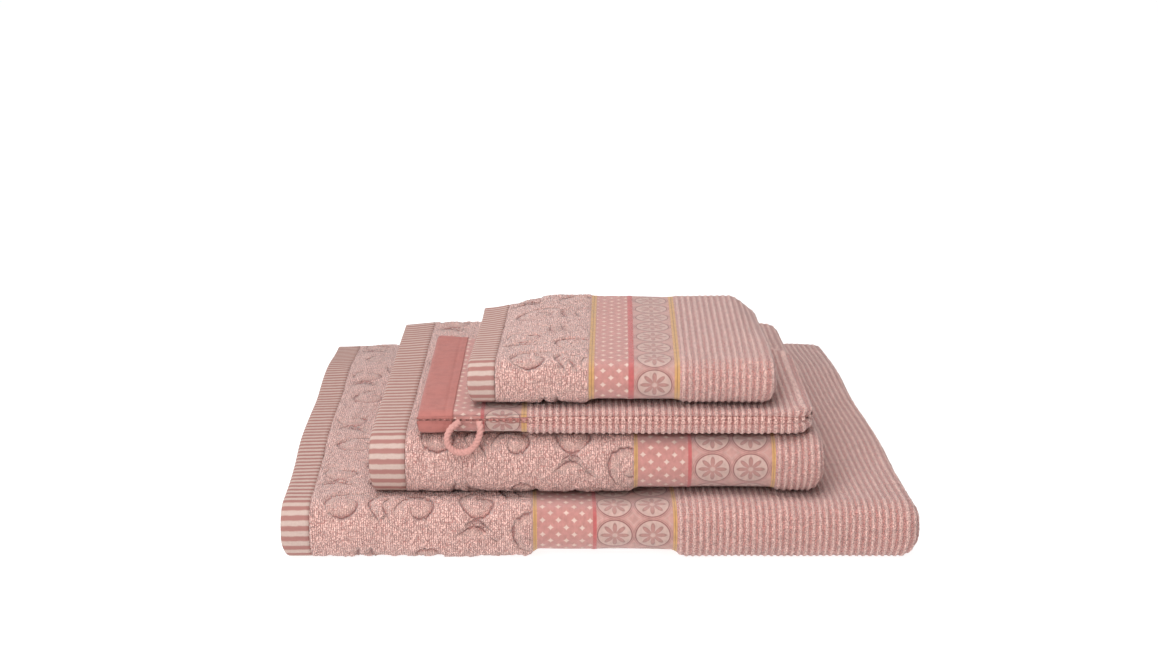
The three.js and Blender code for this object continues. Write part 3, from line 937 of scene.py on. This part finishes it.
def mitt_cuffs():
    """Both woven cuffs: the same curve as the panels without pile, a turned edge at the mouth and
    a row of stitching pressed in beside the panel."""
    mitt = mitt_sizes()
    mouth = mitt.left + MOUTH_ROUND * (1 - np.cos(np.linspace(0, math.pi / 2, 8)))
    end = mitt.cuff_right + GAP + CUFF_LAP
    stations = np.concatenate([mouth, np.arange(mouth[-1] + CUFF_STEP, end, CUFF_STEP)])

    def relief(u, v):
        stitch_row = np.exp(-((u - CUFF_STITCHING) / (0.7 * MM)) ** 2)
        weave = 0.06 * MM * np.sin(2 * math.pi * v / (1.6 * MM))
        return 0.7 * MM + 0.45 * MM * stitch_row + weave, {}

    return [mitt_face(f"mitt_{side}_cuff_cloth", side == "upper", stations, relief)
            for side in ("upper", "lower")]


def mitt_stitching():
    """Overlocked seam: a bead that runs round the outline just inside the edge. Its section is an
    ellipse as high as the seam, with a row of small loops, one per stitch."""
    mitt = mitt_sizes()
    inset = SEAM_INSET + 0.5 * MM
    corner = MITT.corner - inset
    x_left = mitt.left + 1.0 * MM
    tip_front, tip_back = mitt_edges(mitt, np.array([mitt.tip - MITT.corner]))
    arc = np.linspace(0, math.pi / 2, 24)
    centre_x = mitt.tip - MITT.corner
    first_arc = np.stack([centre_x + corner * np.sin(arc),
                          tip_front[0] + MITT.corner - corner * np.cos(arc)], -1)
    second_arc = np.stack([centre_x + corner * np.cos(arc),
                           tip_back[0] - MITT.corner + corner * np.sin(arc)], -1)
    outline = np.concatenate([
        [[x_left, mitt.front + inset]], first_arc, second_arc, [[x_left, mitt.back - inset]]])
    steps = np.concatenate([[0], np.cumsum(np.linalg.norm(np.diff(outline, axis=0), axis=1))])
    along = np.arange(0, steps[-1], 0.55 * MM)
    route = np.stack([
        np.interp(along, steps, outline[:, 0]),
        np.interp(along, steps, outline[:, 1]),
        np.full(len(along), mitt.seam),
    ], -1)
    sides = 14
    angle = np.linspace(0, 2 * math.pi, sides, endpoint=False)
    stitches = 2 * math.pi * (route[:, 0] - mitt.left - MITT.band.ribs) / RIB
    loops = (0.5 - 0.5 * np.cos(stitches))[:, None]
    high = (seam_half(mitt, route[:, 0]) + 0.5 * MM)[:, None]
    deep = 1.2 * MM + 0.7 * MM * loops
    radius = high * deep / np.hypot(high * np.cos(angle), deep * np.sin(angle))
    tangent, second = steady_axis(route, (0.0, 0.0, 1.0))
    first = np.cross(second, tangent)
    return closed_tube("mitt_overlock_stitching", route, first, second, radius,
                       route[:, 0] - mitt.left - MITT.band.ribs, radius.mean())


# ---- materials --------------------------------------------------------------

class Finish:
    """The node graph of one material. Each call takes numbers, colours or sockets."""

    def __init__(self, name, roughness, sheen):
        self.material = bpy.data.materials.new(name)
        self.material.use_nodes = True
        self.tree = self.material.node_tree
        self.shader = self.tree.nodes["Principled BSDF"]
        self.shader.inputs["Roughness"].default_value = roughness
        self.shader.inputs["Specular IOR Level"].default_value = 0.25
        self.shader.inputs["Sheen Weight"].default_value = sheen
        self.shader.inputs["Sheen Roughness"].default_value = 0.5
        coordinates = self.tree.nodes.new("ShaderNodeUVMap")
        coordinates.uv_map = "cloth"
        self.uv = coordinates.outputs[0]
        split = self.tree.nodes.new("ShaderNodeSeparateXYZ")
        self.tree.links.new(self.uv, split.inputs[0])
        self.u, self.v = split.outputs[0], split.outputs[1]

    def put(self, socket, value):
        """Links a socket, or sets a number or colour."""
        if isinstance(value, bpy.types.NodeSocket):
            self.tree.links.new(value, socket)
        else:
            socket.default_value = value

    def math(self, operation, *values):
        """One Math node."""
        node = self.tree.nodes.new("ShaderNodeMath")
        node.operation = operation
        for socket, value in zip(node.inputs, values):
            self.put(socket, value)
        return node.outputs[0]

    def times(self, first, second):
        """Product of two values."""
        return self.math("MULTIPLY", first, second)

    def plus(self, first, second):
        """Sum of two values."""
        return self.math("ADD", first, second)

    def minus(self, first, second):
        """First value less the second."""
        return self.math("SUBTRACT", first, second)

    def step(self, value, low, high):
        """0 up to low, 1 from high, and an even S between."""
        node = self.tree.nodes.new("ShaderNodeMapRange")
        node.interpolation_type = "SMOOTHSTEP"
        for socket, given in zip(node.inputs, (value, low, high, 0.0, 1.0)):
            self.put(socket, given)
        return node.outputs[0]

    def inside(self, value, low, high, soft):
        """1 between low and high, with soft edges."""
        rise = self.step(value, low - soft, low + soft)
        fall = self.step(value, high + soft, high - soft)
        return self.times(rise, fall)

    def mix(self, share, first, second, blend="MIX"):
        """Colour between first and second."""
        node = self.tree.nodes.new("ShaderNodeMix")
        node.data_type = "RGBA"
        node.blend_type = blend
        self.put(node.inputs[0], share)
        self.put(node.inputs[6], first)
        self.put(node.inputs[7], second)
        return node.outputs[2]

    def attribute(self, name):
        """A value that the mesh carries."""
        node = self.tree.nodes.new("ShaderNodeAttribute")
        node.attribute_name = name
        return node.outputs["Fac"]

    def scaled_uv(self, along_u, along_v):
        """UV in cells of the given sizes."""
        node = self.tree.nodes.new("ShaderNodeVectorMath")
        node.operation = "MULTIPLY"
        self.tree.links.new(self.uv, node.inputs[0])
        node.inputs[1].default_value = (1 / along_u, 1 / along_v, 0)
        return node.outputs[0]

    def noise(self, vector, scale, detail=2.0):
        """Soft noise round 0.5."""
        node = self.tree.nodes.new("ShaderNodeTexNoise")
        node.inputs["Scale"].default_value = scale
        node.inputs["Detail"].default_value = detail
        self.tree.links.new(vector, node.inputs["Vector"])
        return node.outputs["Fac"]

    def cells(self, vector, randomness):
        """Distance to the nearest cell centre, for loops of yarn."""
        node = self.tree.nodes.new("ShaderNodeTexVoronoi")
        node.voronoi_dimensions = "2D"
        node.inputs["Scale"].default_value = 1.0
        node.inputs["Randomness"].default_value = randomness
        self.tree.links.new(vector, node.inputs["Vector"])
        return node.outputs["Distance"]

    def bump(self, height, distance, strength=1.0):
        """Sets the shader's normal from a height of 0 to 1."""
        node = self.tree.nodes.new("ShaderNodeBump")
        node.inputs["Distance"].default_value = distance
        node.inputs["Strength"].default_value = strength
        self.put(node.inputs["Height"], height)
        self.put(self.shader.inputs["Normal"], node.outputs[0])

    def colour(self, value):
        """Sets the base colour."""
        self.put(self.shader.inputs["Base Color"], value)
        return self.material


def shade(red, green, blue):
    """Linear colour from the screen values of 0 to 255 that it shows in the studio's light."""
    return tuple((c / 255) ** 2.2 / EXPOSURE for c in (red, green, blue)) + (1.0,)


# Colours as they show on a screen. The pile's own red is past 255, because the shadows between its
# loops take it back below that.
PILE = shade(260, 208, 196)
PILE_SHADOW = shade(158, 84, 78)
SHORT_PILE = shade(236, 188, 176)
# Painted shade at the bottom of the scroll grooves.
GROOVE_SHADE = shade(210, 150, 141)
LINE_SHADE = shade(150, 84, 78)
RIB_TOP = shade(255, 208, 196)
# Painted shade in the valleys between ribs, and between the stitches of the overlocked seam.
RIB_VALLEY_SHADE = shade(212, 146, 138)
RIB_SHADOW = shade(168, 100, 94)
CREAM = shade(214, 190, 179)
CORAL = shade(174, 122, 115)
HEM_SHADOW = shade(168, 124, 118)
CORAL_LINE = shade(206, 106, 104)
GOLD = shade(218, 166, 110)
GOLD_SHADOW = shade(146, 96, 62)
BAND_ROSE = shade(208, 144, 136)
DOT_CREAM = shade(236, 204, 190)
RING_ROSE = shade(140, 86, 84)
FLOWER_CREAM = shade(214, 178, 167)
FLOWER_GROUND = shade(208, 156, 147)
PETAL_ROSE = shade(182, 118, 112)
CUFF_ROSE = shade(190, 120, 112)
CORD_ROSE = shade(222, 162, 153)
THREAD_ROSE = shade(196, 132, 124)


def dot_pattern(finish, zones):
    """Small four-pointed stars on a lattice turned by 45 degrees."""
    a = finish.math("DIVIDE", finish.minus(finish.u, zones.first_dot), DOT)
    b = finish.math("DIVIDE", finish.v, DOT)
    total = finish.times(finish.plus(a, b), 0.5)
    difference = finish.times(finish.minus(a, b), 0.5)
    s = finish.minus(total, finish.math("ROUND", total))
    t = finish.minus(difference, finish.math("ROUND", difference))
    across = finish.math("ABSOLUTE", finish.plus(s, t))
    up = finish.math("ABSOLUTE", finish.minus(s, t))
    star = finish.plus(finish.math("POWER", across, 0.75), finish.math("POWER", up, 0.75))
    return finish.step(star, 0.62, 0.40)


def circle_pattern(finish, zones):
    """Circles on a square lattice: shares of cream disc, pink petals, cream arches that join the
    circles, and rose outlines. The petals are eight lobes of the angle."""
    a = finish.math("DIVIDE", finish.minus(finish.u, zones.first_circle), CIRCLE)
    b = finish.math("DIVIDE", finish.v, CIRCLE)
    x = finish.minus(a, finish.math("ROUND", a))
    y = finish.minus(b, finish.math("ROUND", b))
    radius = finish.math("SQRT", finish.plus(finish.times(x, x), finish.times(y, y)))
    angle = finish.math("ARCTAN2", y, x)
    lobes = finish.math("ABSOLUTE", finish.math("COSINE", finish.times(angle, 4.0)))
    tip = finish.math("MULTIPLY_ADD", finish.math("POWER", lobes, 1.1), 0.29, 0.07)
    beyond = finish.minus(radius, tip)
    petal = finish.step(beyond, 0.015, -0.025)
    edge = finish.inside(beyond, -0.03, 0.02, 0.02)
    petal = finish.times(petal, finish.step(radius, 0.04, 0.10))
    disc = finish.step(radius, 0.450, 0.425)
    ring = finish.inside(radius, 0.440, 0.470, 0.012)
    outer_ring = finish.inside(radius, 0.492, 0.510, 0.014)
    arch = finish.inside(radius, 0.575, 0.60, 0.02)
    outline = finish.math("MAXIMUM", ring, finish.times(outer_ring, 0.6))
    outline = finish.math("MAXIMUM", outline, finish.times(edge, 0.5))
    return disc, petal, arch, outline


def gold_line(finish, colour, start, width):
    """Two gold threads with a darker line between them."""
    share = finish.inside(finish.u, start + 0.2 * MM, start + width - 0.2 * MM, 0.15 * MM)
    middle = finish.inside(finish.u, start + width * 0.46, start + width * 0.54, 0.25 * MM)
    thread = finish.mix(middle, GOLD, GOLD_SHADOW)
    return finish.mix(share, colour, thread)


def terry_finish(name, zones, hem_end):
    """Cotton terry with its woven band. Loops are small cells along the strip, with painted shade
    between them and on low tufts, and painted shade in the scroll grooves and along the scroll
    lines; the zones follow the length along the strip."""
    finish = Finish(name, roughness=0.95, sheen=0.45)
    pile = finish.attribute("pile")
    tuft = finish.attribute("tuft")
    loop = finish.cells(finish.scaled_uv(WALE, LOOP_HEIGHT), 0.7)
    small_loop = finish.cells(finish.scaled_uv(*SMALL_LOOP), 0.9)
    sway = finish.math("MULTIPLY_ADD", finish.noise(finish.uv, 240.0, 1.0), WALE, -0.5 * WALE)
    place = finish.minus(finish.plus(finish.u, sway), hem_end + GAP)
    wale = finish.math("ABSOLUTE", finish.math(
        "COSINE", finish.times(place, math.pi / WALE)))
    broken = finish.step(finish.noise(finish.scaled_uv(1.2 * MM, 3.0 * MM), 1.0, 1.0), 0.36, 0.56)
    # Painted shade: in the gaps between the columns of loops, between the loops, and on low tufts.
    seam = finish.times(finish.step(wale, 0.75, 0.15), broken)
    between_loops = finish.math("MAXIMUM", seam, finish.times(finish.step(loop, 0.28, 0.70), 0.7))
    low_tuft = finish.step(tuft, 0.75, 0.10)
    patch = finish.noise(finish.uv, 45.0, 3.0)
    speck = finish.noise(finish.scaled_uv(1.0, 1.6), 420.0, 2.0)
    dark = finish.math("MULTIPLY_ADD", low_tuft, 0.25, finish.times(between_loops, 0.9))
    line = finish.step(finish.math("ABSOLUTE", finish.attribute("line")), 1.0, 0.3)
    full = finish.step(pile, 0.70, 0.95)
    # Painted shade at the bottom of the scroll grooves, short pile on their shelves, full pile elsewhere.
    terry = finish.mix(finish.step(pile, 0.35, 0.65), GROOVE_SHADE, SHORT_PILE)
    terry = finish.mix(full, terry, PILE)
    shadow = finish.times(dark, finish.math("MULTIPLY_ADD", full, 0.55, 0.4))
    terry = finish.mix(finish.times(shadow, 0.85), terry, PILE_SHADOW)
    terry = finish.mix(finish.times(line, 0.45), terry, LINE_SHADE)
    # Ribs: painted shade in the valleys between them, and painted shade between their small loops and on
    # low tufts.
    rib = finish.mix(pile, RIB_VALLEY_SHADE, RIB_TOP)
    rib_dark = finish.math("MULTIPLY_ADD", finish.step(small_loop, 0.30, 0.75), 0.48,
                           finish.times(low_tuft, 0.15))
    rib = finish.mix(rib_dark, rib, RIB_SHADOW)
    soft = 0.25 * MM
    colour = finish.mix(finish.step(finish.u, zones.ribs - soft, zones.ribs + soft), terry, rib)
    dots = finish.mix(dot_pattern(finish, zones), BAND_ROSE, DOT_CREAM)
    dots_zone = finish.inside(finish.u, zones.dots - 0.5 * MM, zones.coral, soft)
    colour = finish.mix(dots_zone, colour, dots)
    disc, petal, arch, outline = circle_pattern(finish, zones)
    flowers = finish.mix(disc, FLOWER_GROUND, FLOWER_CREAM)
    flowers = finish.mix(finish.times(arch, 0.6), flowers, FLOWER_CREAM)
    flowers = finish.mix(finish.times(petal, 0.7), flowers, PETAL_ROSE)
    flowers = finish.mix(finish.times(outline, 0.85), flowers, RING_ROSE)
    flowers_zone = finish.inside(finish.u, zones.flowers, zones.ribs - zones.gold, soft)
    colour = finish.mix(flowers_zone, colour, flowers)
    coral_zone = finish.inside(finish.u, zones.coral, zones.flowers, soft)
    colour = finish.mix(coral_zone, colour, CORAL_LINE)
    if zones.terry_end > 0:
        colour = gold_line(finish, colour, zones.terry_end, zones.gold)
    colour = gold_line(finish, colour, zones.ribs - zones.gold, zones.gold)
    tint = finish.math("MULTIPLY_ADD", patch, 0.16, 0.92)
    tint = finish.times(tint, finish.math("MULTIPLY_ADD", speck, 0.5, 0.75))
    tone = finish.tree.nodes.new("ShaderNodeCombineColor")
    for socket in tone.inputs:
        finish.put(socket, tint)
    colour = finish.mix(1.0, colour, tone.outputs[0], "MULTIPLY")
    woven = finish.inside(finish.u, zones.terry_end, zones.ribs, soft)
    thread = finish.math("SINE", finish.times(finish.v, 2 * math.pi / (0.6 * MM)))
    weave = finish.math("MULTIPLY_ADD", thread, 0.1, 0.5)
    raised = finish.minus(1.0, finish.times(between_loops, 0.9))
    raised = finish.minus(raised, finish.times(line, 0.6))
    height = finish.tree.nodes.new("ShaderNodeMix")
    for socket, value in zip(height.inputs[:4], (woven, None, raised, weave)):
        if value is not None:
            finish.put(socket, value)
    finish.bump(height.outputs[0], 1.0 * MM, 1.0)
    return finish.colour(colour)


def hem_finish(name):
    """Striped hem: coral and cream stripes across it, with a fine cord weave."""
    finish = Finish(name, roughness=0.9, sheen=0.05)
    turn = finish.times(finish.v, 2 * math.pi / STRIPE)
    uneven = finish.math("MULTIPLY_ADD", finish.noise(finish.uv, 260.0, 2.0), 0.9, -0.45)
    stripe = finish.step(finish.plus(finish.math("SINE", turn), uneven), -0.55, 0.55)
    colour = finish.mix(stripe, CORAL, CREAM)
    speck = finish.noise(finish.uv, 900.0, 2.0)
    colour = finish.mix(finish.times(speck, 0.35), colour, HEM_SHADOW)
    thread = finish.math("SINE", finish.times(finish.v, 2 * math.pi / (0.75 * MM)))
    finish.bump(finish.math("MULTIPLY_ADD", thread, 0.25, 0.5), 0.3 * MM, 0.6)
    return finish.colour(colour)


def plain_finish(name, colour, pitch, roughness, sheen):
    """Plain yarn or weave: fine threads along v, and soft blotches of shade."""
    finish = Finish(name, roughness, sheen)
    thread = finish.math("SINE", finish.times(finish.v, 2 * math.pi / pitch))
    cross = finish.math("SINE", finish.times(finish.u, 2 * math.pi / pitch))
    weave = finish.math("MULTIPLY_ADD", finish.times(thread, cross), 0.3, 0.5)
    blotch = finish.noise(finish.uv, 160.0, 3.0)
    dark = tuple(c * 0.72 for c in colour[:3]) + (1.0,)
    share = finish.times(finish.step(blotch, 0.35, 0.75), 0.5)
    finish.bump(weave, 0.3 * MM, 0.6)
    return finish.colour(finish.mix(share, colour, dark))


def seam_finish():
    """Overlocking yarn: plain beside the cuffs and the band, then one paler stitch for each rib of
    the panels with painted shade between the stitches, broken into small loops with painted shade
    between them."""
    finish = Finish("seam_thread_rose", roughness=0.9, sheen=0.1)
    turn = finish.times(finish.u, 2 * math.pi / RIB)
    stitch = finish.step(finish.math("COSINE", turn), 0.9, -0.6)
    colour = finish.mix(stitch, RIB_VALLEY_SHADE, RIB_TOP)
    colour = finish.mix(finish.step(finish.u, -RIB, RIB), THREAD_ROSE, colour)
    loop = finish.cells(finish.scaled_uv(*SMALL_LOOP), 0.9)
    gap = finish.step(loop, 0.30, 0.75)
    colour = finish.mix(finish.times(gap, 0.6), colour, RIB_SHADOW)
    finish.bump(finish.minus(1.0, gap), 0.6 * MM)
    return finish.colour(colour)


# ---- the set ----------------------------------------------------------------

def add_towel(towel, body):
    fold_sizes(towel)
    cloth = towel_cloth(towel)
    cloth.data.materials.append(terry_finish(towel.name + "_terry", towel.band, towel.hem))
    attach(cloth, body)
    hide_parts(towel.name + "_cloth")
    for which in ("outer", "inner"):
        hem = hem_strip(towel, which)
        hem.data.materials.append(HEM_MATERIAL)
        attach(hem, body)
        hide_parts(f"{towel.name}_{which}_end_hem")


def add_mitt():
    """Makes the mitt's panels, cuffs and seam."""
    panel_material = terry_finish("mitt_terry", MITT.band, 0.0)
    cuff_material = plain_finish("woven_cuff_rose", CUFF_ROSE, 0.8 * MM, 0.85, 0.15)
    cuffs = mitt_cuffs()
    for cuff, side in zip(cuffs, ("upper", "lower")):
        cuff.data.materials.append(cuff_material)
        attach(cuff, "wash_mitt")
        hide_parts(f"mitt_{side}_cuff")
    mitt = mitt_sizes()
    for panel, cuff, side in zip(mitt_panels(), cuffs, ("upper", "lower")):
        panel.data.materials.append(panel_material)
        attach(panel, "wash_mitt")
        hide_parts(f"mitt_{side}_panel")
    seam = mitt_stitching()
    seam.data.materials.append(seam_finish())
    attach(seam, "wash_mitt")
    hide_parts("mitt_overlocked_seam")


def add_loop():
    loop, route, length = twisted_loop()
    loop.data.materials.append(plain_finish("loop_cord_rose", CORD_ROSE, 0.5 * MM, 0.8, 0.1))
    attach(loop, "hanging_loop")
    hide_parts("mitt_hanging_loop")


make_camera()
add_loop()
make_studio()
HEM_MATERIAL = hem_finish("striped_hem_weave")
add_towel(BATH, "bath_towel")
add_towel(HAND, "hand_towel")
add_mitt()
add_towel(GUEST, "guest_towel")
